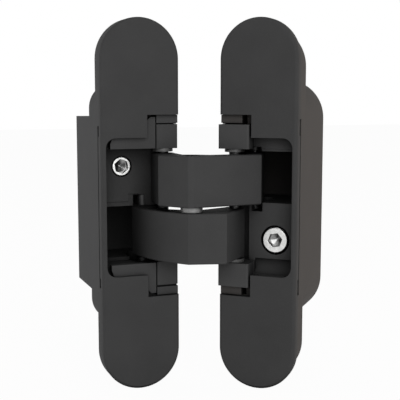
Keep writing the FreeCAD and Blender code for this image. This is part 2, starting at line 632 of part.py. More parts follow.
def make_right_carrier():
    inner = POCKET_INNER_WALL + RIGHT_CARRIER_SIDE_GAP
    outer = POCKET_OUTER - RIGHT_CARRIER_SIDE_GAP
    lug_side = RIGHT_LUG_EDGE + FACE_GAP
    end = box(inner, outer, RIGHT_CARRIER_FRONT, RIGHT_CARRIER_BACK, LUG_INNER_FACE, LUG_OUTER_FACE)
    upper_drop = box(lug_side, outer, RIGHT_CARRIER_FRONT, RIGHT_CARRIER_BACK,
                     RIGHT_END_FACE, LUG_INNER_FACE + 1)
    lug = make_lug(RIGHT_LUG_FRONT, -RIGHT_LUG_OVERHANG, RIGHT_LUG_EDGE)
    underside = -LUG_INNER_FACE - 1
    block = box(RIGHT_BLOCK_EDGE, outer, RIGHT_BLOCK_FRONT, RIGHT_CARRIER_BACK, underside, RIGHT_BLOCK_TOP)
    block_root = box(inner, outer, RIGHT_BLOCK_STEP, RIGHT_CARRIER_BACK, underside, RIGHT_BLOCK_TOP)
    spine = box(outer - SPINE_WIDTH, outer, RIGHT_SPINE_START, RIGHT_CARRIER_BACK, RIGHT_BLOCK_TOP - 1,
                LUG_INNER_FACE + 1)
    casting = fuse(end, mirrored_up(end), upper_drop, lug, mirrored_up(lug), block, block_root, spine)
    entry_side = RIGHT_ENTRY_U + SHOE_RADIUS + SLIDE_GAP
    cove = Part.makeCylinder(COVE_RADIUS, outer, V(lug_side, RIGHT_CARRIER_FRONT,
                             -LUG_INNER_FACE - COVE_RADIUS / 2), V(1, 0, 0))
    ring_start = RIGHT_CARRIER_BACK - 2 * RING_GROOVE
    cuts = [
        post(RIGHT_KNUCKLE_U, RIGHT_KNUCKLE_W, BUSH_RADIUS + PRESS_GAP, -LEAF_HEIGHT, LEAF_HEIGHT),
        rod(SIDE_SCREW_U, SIDE_SCREW_Z, SIDE_SCREW_RADIUS + RUNNING_GAP, 0, BODY_DEPTH),
        rod(SIDE_SCREW_U, SIDE_SCREW_Z, SIDE_HEAD_SINK, 0, SIDE_HEAD_FACE + SIDE_HEAD_LENGTH),
        rod(SIDE_SCREW_U, SIDE_SCREW_Z, RING_RADIUS + HEAD_GAP, ring_start, BODY_DEPTH),
        cove,
        rim(entry_side, outer + 1, RIGHT_CARRIER_FRONT, RIGHT_END_FACE - 1, LUG_INNER_FACE),
        track_slot(UPPER_TRACK, RIGHT_ENTRY_U, RIGHT_CARRIER_FRONT, RIGHT_END_FACE - 1,
                   RIGHT_END_FACE + RIGHT_END_GROOVE_DEPTH),
        track_slot(UPPER_TRACK, RIGHT_ENTRY_U, RIGHT_BLOCK_FRONT, RIGHT_BLOCK_TOP - RIGHT_GROOVE_DEPTH,
                   RIGHT_BLOCK_TOP + 1),
    ]
    for shape in cuts:
        casting = casting.cut(shape)
    return casting.removeSplitter()


def make_bush(u, w):
    sleeve = post(u, w, BUSH_RADIUS, LUG_INNER_FACE, LUG_OUTER_FACE)
    flange = post(u, w, BUSH_FLANGE_RADIUS, LUG_INNER_FACE - BUSH_FLANGE, LUG_INNER_FACE)
    bore = post(u, w, KNUCKLE_PIN_RADIUS + PRESS_GAP, 0, LEAF_HEIGHT)
    return fuse(sleeve, flange).cut(bore)


def make_knuckle_pin(u, w):
    return post(u, w, KNUCKLE_PIN_RADIUS, -LUG_OUTER_FACE + FACE_GAP, LUG_OUTER_FACE - FACE_GAP)


def make_ring(u, z, groove_radius, w):
    """Open retaining ring in the screw's groove."""
    ring = rod(u, z, RING_RADIUS, w, w + RING_THICKNESS)
    bore = rod(u, z, groove_radius + PRESS_GAP, w - 1, w + 1)
    mouth = box(u - groove_radius, u + groove_radius, w - 1, w + 1, z, z + 2 * RING_RADIUS)
    return ring.cut(fuse(bore, mouth))


def key_socket(u, z, across_flats, turn, face):
    """Hexagonal socket with the point of its drill at the bottom."""
    bottom = face + SOCKET_DEPTH
    drilled = across_flats / 2 - SOCKET_DRILL_GAP
    point = taper(u, z, drilled, DRILL_POINT, bottom, bottom + SOCKET_DRILL_DEPTH)
    return fuse(hexagon(u, z, across_flats, 0, bottom, turn), point)


def make_depth_screw():
    head = rod(DEPTH_SCREW_U, DEPTH_SCREW_Z, DEPTH_HEAD_RADIUS, DEPTH_HEAD_FACE, DEPTH_NECK)
    head = head.makeChamfer(HEAD_EDGE, edges_where(head, lambda p: p.y < DEPTH_HEAD_FACE + 1e-6))
    shank = rod(DEPTH_SCREW_U, DEPTH_SCREW_Z, DEPTH_SCREW_RADIUS, DEPTH_NECK, BODY_DEPTH - DEPTH_TIP_GAP)
    socket = key_socket(DEPTH_SCREW_U, DEPTH_SCREW_Z, DEPTH_SOCKET, DEPTH_SOCKET_TURN, DEPTH_HEAD_FACE)
    groove = ring_groove(DEPTH_SCREW_U, DEPTH_SCREW_Z, DEPTH_SCREW_RADIUS, LEFT_CARRIER_BACK)
    return fuse(head, shank).cut(socket).cut(groove)


def ring_groove(u, z, radius, w):
    outer = rod(u, z, radius + 1, w, w + RING_GROOVE)
    return outer.cut(rod(u, z, radius - 0.5, w - 1, w + 1))


def make_side_screw():
    neck = SIDE_HEAD_FACE + SIDE_HEAD_LENGTH - FACE_GAP
    head = rod(SIDE_SCREW_U, SIDE_SCREW_Z, SIDE_HEAD_RADIUS, SIDE_HEAD_FACE, neck)
    head = head.makeChamfer(HEAD_EDGE, edges_where(head, lambda p: p.y < SIDE_HEAD_FACE + 1e-6))
    shank = rod(SIDE_SCREW_U, SIDE_SCREW_Z, SIDE_SCREW_RADIUS, neck, RIGHT_CARRIER_BACK)
    tip = rod(SIDE_SCREW_U, SIDE_SCREW_Z + SIDE_OFFSET, SIDE_TIP_RADIUS,
              RIGHT_CARRIER_BACK, BODY_DEPTH - SIDE_TIP_GAP)
    socket = key_socket(SIDE_SCREW_U, SIDE_SCREW_Z, SIDE_SOCKET, SIDE_SOCKET_TURN, SIDE_HEAD_FACE)
    groove = ring_groove(SIDE_SCREW_U, SIDE_SCREW_Z, SIDE_SCREW_RADIUS, RIGHT_CARRIER_BACK - 2 * RING_GROOVE)
    return fuse(head, shank, tip).cut(socket).cut(groove)


# Arms and what joins them, drawn in stage coordinates at rest


def at_centre(dx, dy):
    return REST_CENTRE[0] + dx, REST_CENTRE[1] + dy


def softened(prism, z0, z1):
    """Break the straight upper and lower rims of an arm's outline."""
    rims = []
    for edge in prism.Edges:
        level = edge.BoundBox.ZMax - edge.BoundBox.ZMin < 1e-6
        if level and edge.Length > 3:
            rims.append(edge)
    return prism.makeChamfer(ARM_EDGE, rims)


def make_upper_arm():
    """Pinned to the left knuckle, crossing to its slide pin in the right leaf."""
    px, py = leaf_to_stage(-1, LEFT_KNUCKLE)
    sx, sy = UPPER_SLIDE
    half = CREASE_WIDTH / 2
    outline = [
        at_centre(-9.7, 0.5),
        at_centre(-half, -CREASE_OFFSET),
        at_centre(half, -CREASE_OFFSET + 0.2),
        at_centre(20.6, 4.7),
        (sx + SLIDE_EYE_RADIUS, sy),
        (sx - SLIDE_EYE_RADIUS, sy),
        at_centre(16.4, 7.5),
        at_centre(5.2, 3.4),
        at_centre(1.5, 4.5),
        at_centre(-2.6, 4.6),
        (px + EYE_RADIUS, py + 0.6),
        (px - EYE_RADIUS, py - 0.3),
    ]
    z0 = ARM_GAP / 2
    body = softened(plan_prism(outline, z0, ARM_TOP), z0, ARM_TOP)
    arm = fuse(body, post(px, py, EYE_RADIUS, z0, ARM_TOP), post(sx, sy, SLIDE_EYE_RADIUS, z0, ARM_TOP))
    relief = [right_pin_seen_from_upper_arm(t) for t in travel_steps(STEPS)]
    arm = arm.cut(swept_slot(relief, KNUCKLE_PIN_RADIUS + RELIEF_GAP, 0, LEAF_HEIGHT))
    holes = [
        post(px, py, KNUCKLE_PIN_RADIUS + RUNNING_GAP, 0, LEAF_HEIGHT),
        post(sx, sy, SLIDE_PIN_RADIUS + PRESS_GAP, 0, LEAF_HEIGHT),
        post(REST_CENTRE[0], REST_CENTRE[1], CENTRE_PIN_RADIUS + PRESS_GAP, 0, LEAF_HEIGHT),
    ]
    return arm.cut(holes[0].multiFuse(holes[1:]))


def make_lower_arm():
    """Pinned to the right knuckle, curving back to its slide pin in the left leaf."""
    px, py = leaf_to_stage(1, RIGHT_KNUCKLE)
    sx, sy = LOWER_SLIDE
    z0 = -ARM_TOP
    z1 = -ARM_GAP / 2
    tip = at_centre(-CREASE_WIDTH / 2, -CREASE_OFFSET)
    bulge = at_centre(-10.4, 1.9)
    end = (sx - SLIDE_EYE_RADIUS, sy - 4.5)
    back = [
        (sx - SLIDE_EYE_RADIUS, sy),
        (sx + SLIDE_EYE_RADIUS, sy),
        at_centre(-6.8, 6.0),
        at_centre(-2.0, 4.6),
        at_centre(2.6, 4.6),
        (px - 1.4, py + LOWER_EYE_RADIUS * 0.9),
        (px + LOWER_EYE_RADIUS * 0.9, py - LOWER_EYE_RADIUS * 0.4),
        at_centre(10.2, -3.7),
    ]
    arc = Part.Arc(V(tip[0], tip[1], z0), V(bulge[0], bulge[1], z0), V(end[0], end[1], z0)).toShape()
    corners = [V(x, y, z0) for x, y in [end] + back + [tip]]
    wire = Part.Wire([arc] + Part.makePolygon(corners).Edges)
    body = softened(Part.Face(wire).extrude(V(0, 0, z1 - z0)), z0, z1)
    arm = fuse(body, post(px, py, LOWER_EYE_RADIUS, z0, z1), post(sx, sy, SLIDE_EYE_RADIUS, z0, z1))
    relief = [left_pin_seen_from_lower_arm(t) for t in travel_steps(STEPS)]
    arm = arm.cut(swept_slot(relief, KNUCKLE_PIN_RADIUS + RELIEF_GAP, -LEAF_HEIGHT, 0))
    holes = [
        post(px, py, KNUCKLE_PIN_RADIUS + RUNNING_GAP, -LEAF_HEIGHT, 0),
        post(sx, sy, SLIDE_PIN_RADIUS + PRESS_GAP, -LEAF_HEIGHT, 0),
        post(REST_CENTRE[0], REST_CENTRE[1], CENTRE_PIN_RADIUS + RUNNING_GAP, -LEAF_HEIGHT, 0),
    ]
    return arm.cut(holes[0].multiFuse(holes[1:]))


def make_centre_pin():
    return post(REST_CENTRE[0], REST_CENTRE[1], CENTRE_PIN_RADIUS, -ARM_TOP + 0.4, ARM_TOP - 0.4)


def make_centre_washer():
    half = ARM_GAP / 2 - RUNNING_GAP
    washer = post(REST_CENTRE[0], REST_CENTRE[1], CENTRE_WASHER_RADIUS, -half, half)
    return washer.cut(post(REST_CENTRE[0], REST_CENTRE[1], CENTRE_PIN_RADIUS + PRESS_GAP, -1, 1))


# Each groove's bottom and mouth, for the two ends of each slide pin
UPPER_GROOVES = [
    (RIGHT_BLOCK_TOP - RIGHT_GROOVE_DEPTH, RIGHT_BLOCK_TOP),
    (RIGHT_END_FACE + RIGHT_END_GROOVE_DEPTH, RIGHT_END_FACE),
]
LOWER_GROOVES = [
    (-LUG_INNER_FACE - LEFT_END_GROOVE_DEPTH, -LUG_INNER_FACE),
    (LEFT_BLOCK_UNDERSIDE + LEFT_GROOVE_DEPTH, LEFT_BLOCK_UNDERSIDE),
]


def make_slide_pin(centre, grooves):
    """Pin through the arm's deep end, from one groove's bottom to the other's."""
    low = grooves[0][0] + GROOVE_END_GAP
    high = grooves[1][0] - GROOVE_END_GAP
    return post(centre[0], centre[1], SLIDE_PIN_RADIUS, low, high)


def make_slide_shoes(centre, grooves):
    """Round shoes on the ends of a slide pin, one in each groove."""
    low = grooves[0][0] + GROOVE_END_GAP
    high = grooves[1][0] - GROOVE_END_GAP
    lower = post(centre[0], centre[1], SHOE_RADIUS, low, grooves[0][1])
    upper = post(centre[0], centre[1], SHOE_RADIUS, grooves[1][1], high)
    bore = post(centre[0], centre[1], SLIDE_PIN_RADIUS + PRESS_GAP, -LEAF_HEIGHT, LEAF_HEIGHT)
    return Part.makeCompound([lower.cut(bore), upper.cut(bore)])


def left_pieces():
    bush = make_bush(LEFT_KNUCKLE_U, LEFT_KNUCKLE_W)
    keeper = make_keeper(left_keeper_outline)
    screw = make_keeper_screw()
    return {
        "left_body": make_left_body(),
        "left_cover": make_cover(LEFT_SLIT_HALF_HEIGHT, LEFT_RELIEF_HEIGHT),
        "left_carrier": make_left_carrier(),
        "left_upper_keeper": keeper,
        "left_lower_keeper": mirrored_up(keeper),
        "left_keeper_screws": Part.makeCompound([screw, mirrored_up(screw)]),
        "left_depth_screw": make_depth_screw(),
        "left_depth_ring": make_ring(DEPTH_SCREW_U, DEPTH_SCREW_Z, DEPTH_SCREW_RADIUS - 0.5,
                                     LEFT_CARRIER_BACK + RUNNING_GAP),
        "left_knuckle_pin": make_knuckle_pin(LEFT_KNUCKLE_U, LEFT_KNUCKLE_W),
        "left_upper_bush": bush,
        "left_lower_bush": mirrored_up(bush),
    }


def right_pieces():
    bush = make_bush(RIGHT_KNUCKLE_U, RIGHT_KNUCKLE_W)
    keeper = make_keeper(right_keeper_outline)
    screw = make_keeper_screw()
    return {
        "right_body": make_right_body(),
        "right_cover": make_cover(RIGHT_SLIT_HALF_HEIGHT, RIGHT_RELIEF_HEIGHT),
        "right_carrier": make_right_carrier(),
        "right_upper_keeper": keeper,
        "right_lower_keeper": mirrored_up(keeper),
        "right_keeper_screws": Part.makeCompound([screw, mirrored_up(screw)]),
        "right_side_screw": make_side_screw(),
        "right_side_ring": make_ring(SIDE_SCREW_U, SIDE_SCREW_Z, SIDE_SCREW_RADIUS - 0.5,
                                     RIGHT_CARRIER_BACK - 2 * RING_GROOVE + RUNNING_GAP),
        "right_knuckle_pin": make_knuckle_pin(RIGHT_KNUCKLE_U, RIGHT_KNUCKLE_W),
        "right_upper_bush": bush,
        "right_lower_bush": mirrored_up(bush),
    }


def link_pieces():
    return {
        "upper_arm": make_upper_arm(),
        "lower_arm": make_lower_arm(),
        "centre_pin": make_centre_pin(),
        "centre_washer": make_centre_washer(),
        "upper_slide_pin": make_slide_pin(UPPER_SLIDE, UPPER_GROOVES),
        "lower_slide_pin": make_slide_pin(LOWER_SLIDE, LOWER_GROOVES),
        "upper_slide_shoes": make_slide_shoes(UPPER_SLIDE, UPPER_GROOVES),
        "lower_slide_shoes": make_slide_shoes(LOWER_SLIDE, LOWER_GROOVES),
    }


def build():
    """Every piece in the hinge's own frame, by name."""
    pieces = {name: place_left(shape) for name, shape in left_pieces().items()}
    pieces.update({name: place_right(shape) for name, shape in right_pieces().items()})
    pieces.update({name: place_stage(shape) for name, shape in link_pieces().items()})
    return pieces


def main():
    os.makedirs("parts", exist_ok=True)
    for name, shape in build().items():
        shape.exportStep("parts/%s.step" % name)
        valid = shape.isValid()
        print("%-20s solids %d volume %9.2f valid %s" % (name, len(shape.Solids), shape.Volume, valid))
    print("left knuckle", stage_to_row(leaf_to_stage(-1, LEFT_KNUCKLE)))
    print("centre", stage_to_row(REST_CENTRE))
    print("right knuckle", stage_to_row(leaf_to_stage(1, RIGHT_KNUCKLE)))
    print("right leaf edge", stage_to_row(RIGHT_EDGE_STAGE))
    print("turns to closed", LEFT_TURN, CENTRE_TURN, RIGHT_TURN)


if __name__ == "__main__":
    main()
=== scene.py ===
"""Finishes, floor, light and camera for a concealed door hinge that stands part open."""

import json
import math

import bpy
from bpy.props import FloatProperty, FloatVectorProperty, PointerProperty
from mathutils import Matrix, Vector


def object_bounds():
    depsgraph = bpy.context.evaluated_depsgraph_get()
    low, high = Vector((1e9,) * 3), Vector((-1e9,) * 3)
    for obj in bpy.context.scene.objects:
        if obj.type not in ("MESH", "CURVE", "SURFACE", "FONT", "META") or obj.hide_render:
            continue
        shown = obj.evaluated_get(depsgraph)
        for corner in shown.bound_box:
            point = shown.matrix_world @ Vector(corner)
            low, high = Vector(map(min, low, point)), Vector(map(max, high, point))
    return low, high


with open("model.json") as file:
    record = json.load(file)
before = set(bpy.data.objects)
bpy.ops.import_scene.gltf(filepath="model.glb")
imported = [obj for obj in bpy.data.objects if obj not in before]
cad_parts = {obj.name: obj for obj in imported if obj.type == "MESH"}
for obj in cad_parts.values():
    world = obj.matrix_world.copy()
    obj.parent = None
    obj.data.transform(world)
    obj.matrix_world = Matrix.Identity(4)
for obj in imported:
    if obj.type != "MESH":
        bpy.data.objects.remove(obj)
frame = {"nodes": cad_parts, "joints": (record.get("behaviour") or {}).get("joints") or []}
cad_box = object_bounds()

bl_info = {
    "name": "Concealed door hinge",
    "version": (1, 0, 0),
    "blender": (4, 5, 0),
    "location": "3D View > Sidebar > Hinge",
    "description": "Dresses the parts of a concealed door hinge and sets up its studio",
    "category": "Object",
}

MM = 0.001
JOINTS = {joint["name"]: joint for joint in frame["joints"]}
ADJUSTING_SCREWS = {"left_depth_screw": "depth_screw_turn", "right_side_screw": "side_screw_turn"}

# Sockets of a Mix node when it mixes colours
MIX_FACTOR = 0
MIX_FIRST = 6
MIX_SECOND = 7
MIX_RESULT = 2

# Rays sent out at each point to feel for edges and for hollows
EDGE_SAMPLES = 6
HOLLOW_SAMPLES = 8

# How sharp an edge has to be for a small part to start to look rubbed and to look fully so
EDGE_BAND = (0.01, 0.15)

# The middle of a noise that runs from 0 to 1
MIDDLE = 0.5

# How much of what lies round a point is open, first where the painted shade in slits and pockets is darkest,
# then where it ends
SLIT_SHADE_BAND = (0.3, 0.55)
DEEP_POCKET_SHADE = (0.1, 0.55)
CARRIER_POCKET_SHADE = (0.15, 0.68)
ARM_POCKET_SHADE = (0.3, 0.95)

# What the painted shade in pockets and slits does to a colour's brightness
POCKET_SHADE_TONE = -0.85
SLIT_SHADE_TONE = -0.92

# Powder coat: how it mirrors, its clouds, specks, scuffs, and edges lightened partly as wear and partly as a
# painted highlight, and what they do to it
COAT_IOR = 1.4
COAT_SPECULAR = 0.035
COAT_CLOUDS = 13 * MM
COAT_CLOUD_BAND = (0.3, 0.7)
COAT_SPECK_BAND = (0.52, 0.72)
COAT_RUBBED_HIGHLIGHT_BAND = (0.01, 0.12)
COAT_SCUFFS = 1.6 * MM
COAT_SCUFF_STOPS = [(0.35, 0.25), (0.65, 1.0)]
COAT_TONE = (-0.07, 0.07)
COAT_SPECK_SHARE = 0.3
COAT_SPECK_TONE = 0.45
COAT_RUBBED_HIGHLIGHT_TONE = 1.7
COAT_CLOUD_ROUGH = 0.12
COAT_SPECK_ROUGH = 0.1
COAT_RUBBED_SMOOTH = 0.12
CASTING_GRAIN = 1.3

# Zinc plate: clouds, edges with a painted highlight, marks, their width in turning marks, and how painted
# shade deepens below a face
PLATE_CLOUDS = 0.9 * MM
PLATE_CLOUD_BAND = (0.35, 0.7)
PLATE_EDGE = 0.12 * MM
PLATE_TONE = (-0.14, 0.05)
PLATE_EDGE_HIGHLIGHT_SHARE = 0.5
PLATE_EDGE_HIGHLIGHT_TONE = 0.2
PLATE_ROUGH = 0.14
PLATE_MARK_ROUGH = 0.12
PLATE_CLOUD_ROUGH = 0.1
PLATE_HEIGHT = 0.002 * MM
PLATE_STRETCH = (1, 1, 6)
PLATE_MARK_WIDTH = 3
SOCKET_SHADE_BY_DEPTH = [(0.05, 0.0), (0.35, 0.75), (1.0, 1.0)]

# Ground steel: grinding rings, stains and edges
STEEL_RINGS = 5 * MM
STEEL_STRETCH = (1, 1, 60)
STEEL_STAINS = 1.8 * MM
STEEL_STAIN_BAND = (0.35, 0.7)
STEEL_EDGE = 0.15 * MM
STEEL_TONE = (-0.2, 0.06)
STEEL_EDGE_SHARE = 0.4
STEEL_EDGE_TONE = 0.3
STEEL_RING_ROUGH = 0.15
STEEL_STAIN_ROUGH = 0.12
STEEL_HEIGHT = 0.003 * MM

# Moulded plastic: clouds, spark texture and rims
PLASTIC_CLOUDS = 1.5 * MM
PLASTIC_GRAIN = 0.12 * MM
PLASTIC_EDGE = 0.15 * MM
PLASTIC_TONE = (-0.1, 0.1)
PLASTIC_RIM_SHARE = 0.3
PLASTIC_RIM_TONE = 0.35
PLASTIC_CLOUD_ROUGH = 0.14
PLASTIC_GRAIN_ROUGH = 0.12
PLASTIC_HEIGHT = 0.004 * MM

# Floor: half its width in metres, its faint clouds, and how white it shows to the camera
FLOOR_HALF = 2.0
FLOOR_CLOUDS = 90 * MM
FLOOR_TONE = (-0.02, 0.02)
FLOOR_ROUGH = 0.9
FLOOR_GLOW = 0.96

# Lamps: turned from the camera's direction, raised, and in metres how far off and how wide
FRONT_TURN = math.radians(-11)
FRONT_RAISED = math.radians(20)
FRONT_DISTANCE = 0.75
FRONT_WIDTH = 0.6
SIDE_TURN = math.radians(106)
SIDE_RAISED = 0.0
SIDE_DISTANCE = 0.7
SIDE_WIDTH = 0.3

# Camera: width of its frame in mm, and the nearest that it sees in metres
FRAME_WIDTH = 36.0
NEAREST_SEEN = 0.01


def colour_property(name, description, default):
    return FloatVectorProperty(name=name, description=description, subtype="COLOR", size=3, min=0, max=1,
                               default=default)


def share_property(name, description, default):
    return FloatProperty(name=name, description=description, subtype="FACTOR", min=0, max=1, default=default)


def length_property(name, description, default):
    return FloatProperty(name=name, description=description, unit="LENGTH", min=0, precision=6,
                         default=default)


def power_property(name, description, default):
    return FloatProperty(name=name, description=description, unit="POWER", min=0, default=default)


def angle_property(name, description, default):
    return FloatProperty(name=name, description=description, unit="ROTATION", default=default)


class CoatSettings(bpy.types.PropertyGroup):
    """Colours and texture of the coated castings, caps, plates and arms."""

    left_body: colour_property("Left body", "Coat of the left leaf's casting", (0.054, 0.054, 0.0545))
    # The right body's coat is warmer and lighter than the left's: partly its own tone, partly painted warm
    # light from the right.
    right_body: colour_property("Right body", "Coat of the right leaf's casting", (0.059, 0.0555, 0.0535))
    cover: colour_property("Covers", "Coat of both cover caps", (0.049, 0.049, 0.0493))
    carrier: colour_property("Carriers", "Coat of both sliding carriers", (0.059, 0.059, 0.0593))
    keeper: colour_property("Keepers", "Coat of the four keeper plates", (0.054, 0.054, 0.0543))
    arm: colour_property("Arms", "Coat of both arms", (0.052, 0.052, 0.0523))
    roughness: share_property("Roughness", "How matt the coat is", 0.66)
    speck_size: length_property("Speck size", "Width of the powder's specks", 0.3 * MM)
    speck_height: length_property("Speck height", "How far the specks stand out", 0.006 * MM)
    ripple_size: length_property("Ripple size", "Width of the coat's soft ripples", 2.2 * MM)
    ripple_height: length_property("Ripple height", "Depth of the coat's soft ripples", 0.012 * MM)
    edge_radius: length_property("Edge radius", "How round the coat leaves each edge", 0.22 * MM)
    # Lightens the coat's edges, partly as wear from rubbing and partly as a painted highlight.
    edge_wear_highlight: share_property("Edge wear", "How much the coat is rubbed along its edges", 0.35)


class PaintedShadeSettings(bpy.types.PropertyGroup):
    """Painted shade that darkens the slits and pockets that the parts close in."""

    slit_shade_reach: length_property("Slit width", "Width of the slits and corners that gather dark dust", 3.0 * MM)
    slit_shade: share_property("Dust", "How much the dust darkens the slits", 0.95)
    pocket_shade_reach: length_property("Pocket width", "Width of the pockets that gather grease", 22.0 * MM)
    pocket_shade: share_property("Grease", "How much the grease darkens the pockets", 0.9)


class MetalSettings(bpy.types.PropertyGroup):
    """Colours of the bare and plated metal."""

    zinc: colour_property("Zinc plate", "Bright plate of the screws", (0.74, 0.74, 0.73))
    steel: colour_property("Ground steel", "Oiled steel of the pins", (0.13, 0.13, 0.13))
    spring: colour_property("Spring steel", "Oiled steel of the retaining rings", (0.12, 0.12, 0.125))
    # The next three settings paint shade down in the screws' sockets, darkest below the face.
    socket_shade_colour: colour_property("Oil", "Dark oil down in the screws' sockets", (0.05, 0.05, 0.052))
    socket_shade: share_property("Grime", "How much the oil darkens what lies below a screw's face", 0.65)
    socket_shade_depth: length_property("Grime depth", "Depth below the face where the oil is thickest", 2.0 * MM)
    ring_spacing: length_property("Turning marks", "Distance between the turning marks on a screw head",
                                  0.12 * MM)


class PlasticSettings(bpy.types.PropertyGroup):
    """Colours of the moulded bearing parts."""

    bush: colour_property("Bushes", "Plastic of the knuckle bushes", (0.085, 0.085, 0.084))
    washer: colour_property("Washer", "Plastic of the centre washer", (0.30, 0.30, 0.298))
    shoe: colour_property("Shoes", "Plastic of the slide shoes", (0.02, 0.02, 0.021))


class StudioSettings(bpy.types.PropertyGroup):
    """Floor, light and camera."""

    floor: colour_property("Floor", "Colour of the floor", (0.88, 0.88, 0.88))
    world: colour_property("Surroundings", "Colour of the light from all around", (1.0, 1.0, 1.0))
    world_strength: FloatProperty(name="Surround light", description="Strength of the light from all around",
                                  min=0, default=0.36)
    key_power: power_property("Front light", "Power of the lamp above and right of the camera", 3.5)
    left_power: power_property("Left light", "Power of the lamp on the hinge's left", 2.9)
    right_power: power_property("Right light", "Power of the lamp on the hinge's right", 2.45)
    right_light: colour_property("Right light colour", "Colour of the right lamp", (1.0, 0.88, 0.77))
    view_azimuth: angle_property("View azimuth", "Direction that the camera looks in", math.radians(20.94))
    view_elevation: angle_property("View elevation", "How far the camera looks down", math.radians(7.005))
    view_distance: length_property("View distance", "From the camera to the point it looks at", 256.0 * MM)
    view_point: FloatVectorProperty(name="View point", description="Point that the camera looks at", size=3,
                                    unit="LENGTH", precision=6,
                                    default=(17.764 * MM, -8.237 * MM, 1.728 * MM))
    lens: FloatProperty(name="Lens", description="Focal length on a 36 mm wide frame", min=1, unit="CAMERA",
                        default=76.62)


class Value:
    """A node's output, with arithmetic that adds Math nodes."""

    def __init__(self, shader, socket):
        self.shader = shader
        self.socket = socket

    def __add__(self, other):
        return self.shader.math("ADD", self, other)

    def __sub__(self, other):
        return self.shader.math("SUBTRACT", self, other)

    def __rsub__(self, other):
        return self.shader.math("SUBTRACT", other, self)

    def __mul__(self, other):
        return self.shader.math("MULTIPLY", self, other)

    __radd__ = __add__
    __rmul__ = __mul__


class Shader:
    """The nodes of one material or of the surroundings."""

    def __init__(self, owner):
        owner.use_nodes = True
        self.owner = owner
        self.tree = owner.node_tree
        self.tree.nodes.clear()

    def node(self, kind, settings, inputs, output=0):
        """Add a node, set it up, fill its sockets with values or links and give one of its outputs."""
        made = self.tree.nodes.new(kind)
        for name, setting in settings.items():
            if name == "stops":
                ramp = made.color_ramp.elements
                while len(ramp) < len(setting):
                    ramp.new(1.0)
                for element, (position, level) in zip(ramp, setting):
                    element.position = position
                    element.color = (level, level, level, 1)
            else:
                setattr(made, name, setting)
        for name, source in inputs.items():
            if isinstance(source, Value):
                self.tree.links.new(source.socket, made.inputs[name])
            elif source is not None:
                made.inputs[name].default_value = source
        return made if output is None else Value(self, made.outputs[output])

    def math(self, operation, first, second):
        return self.node("ShaderNodeMath", {"operation": operation}, {0: first, 1: second})

    def vector_math(self, operation, first, second=None, output=0):
        return self.node("ShaderNodeVectorMath", {"operation": operation}, {0: first, 1: second}, output)

    def place(self):
        """Where a point is on the parts at rest, in metres."""
        return self.node("ShaderNodeTexCoord", {}, {}, "Object")

    def noise(self, vector, size, detail=2.0, roughness=0.5):
        """Soft noise from 0 to 1 with features about size metres wide."""
        return self.node("ShaderNodeTexNoise", {}, {"Vector": vector, "Scale": 1 / size, "Detail": detail,
                                                    "Roughness": roughness}, "Fac")

    def ramp(self, value, stops):
        return self.node("ShaderNodeValToRGB", {"stops": stops}, {"Fac": value}, "Color")

    def rise(self, value, band):
        """0 up to the band's start, rising evenly to 1 at its end."""
        return self.ramp(value, [(band[0], 0.0), (band[1], 1.0)])

    def mix(self, factor, first, second):
        """Mix two colours, each a linked value or plain RGB."""
        mixed = {MIX_FACTOR: factor, MIX_FIRST: solid(first), MIX_SECOND: solid(second)}
        return self.node("ShaderNodeMix", {"data_type": "RGBA", "clamp_factor": True}, mixed, MIX_RESULT)

    def toned(self, factor, colour, tones):
        """The colour, running from its first tone to its second."""
        return self.mix(factor, tinted(colour, tones[0]), tinted(colour, tones[1]))

    def edge_mask(self, radius):
        """0 on the flats, rising towards 1 on outer and inner edges, and the rounded normal."""
        rounded = self.node("ShaderNodeBevel", {"samples": EDGE_SAMPLES}, {"Radius": radius})
        flat = self.node("ShaderNodeNewGeometry", {}, {}, "Normal")
        facing = self.vector_math("DOT_PRODUCT", rounded, flat, "Value")
        return 1 - facing, rounded

    def crevices(self, reach, closed, clear):
        """1 in hollows that are no more open than closed, falling to 0 where they are as open as clear; it
        says where shade is painted.
        """
        open_share = self.node("ShaderNodeAmbientOcclusion", {"samples": HOLLOW_SAMPLES},
                               {"Distance": reach}, "AO")
        return self.ramp(open_share, [(closed, 1.0), (clear, 0.0)])

    def painted_shade(self, surface, colour, pocket_shade_band=DEEP_POCKET_SHADE):
        """The surface with painted shade where wide pockets close it in, and darker painted shade in slits.
        """
        hollows = bpy.context.scene.hinge_hollows
        pocket_shade = self.crevices(hollows.pocket_shade_reach, *pocket_shade_band) * hollows.pocket_shade
        pocket_shaded = self.mix(pocket_shade, surface, tinted(colour, POCKET_SHADE_TONE))
        slit_shade = self.crevices(hollows.slit_shade_reach, *SLIT_SHADE_BAND) * hollows.slit_shade
        return self.mix(slit_shade, pocket_shaded, tinted(colour, SLIT_SHADE_TONE))

    def bump(self, height, normal):
        """Normal for a height in metres over a surface that already has its own."""
        return self.node("ShaderNodeBump", {}, {"Strength": 1.0, "Distance": 1.0, "Height": height,
                                                "Normal": normal})

    def surface(self, inputs):
        """Finish the material with one principled shader."""
        shader = self.node("ShaderNodeBsdfPrincipled", {}, inputs)
        self.node("ShaderNodeOutputMaterial", {}, {"Surface": shader}, None)
        return self.owner


def material_shader(name):
    return Shader(bpy.data.materials.new(name))


def plain(colour):
    """The colour as three numbers."""
    return tuple(colour)[:3]


def solid(colour):
    """A linked colour as it is, or plain RGB with nothing showing through."""
    return colour if isinstance(colour, Value) else (*colour, 1)


def tinted(colour, share):
    """The colour made brighter or darker by a share."""
    return tuple(channel * (1 + share) for channel in plain(colour))


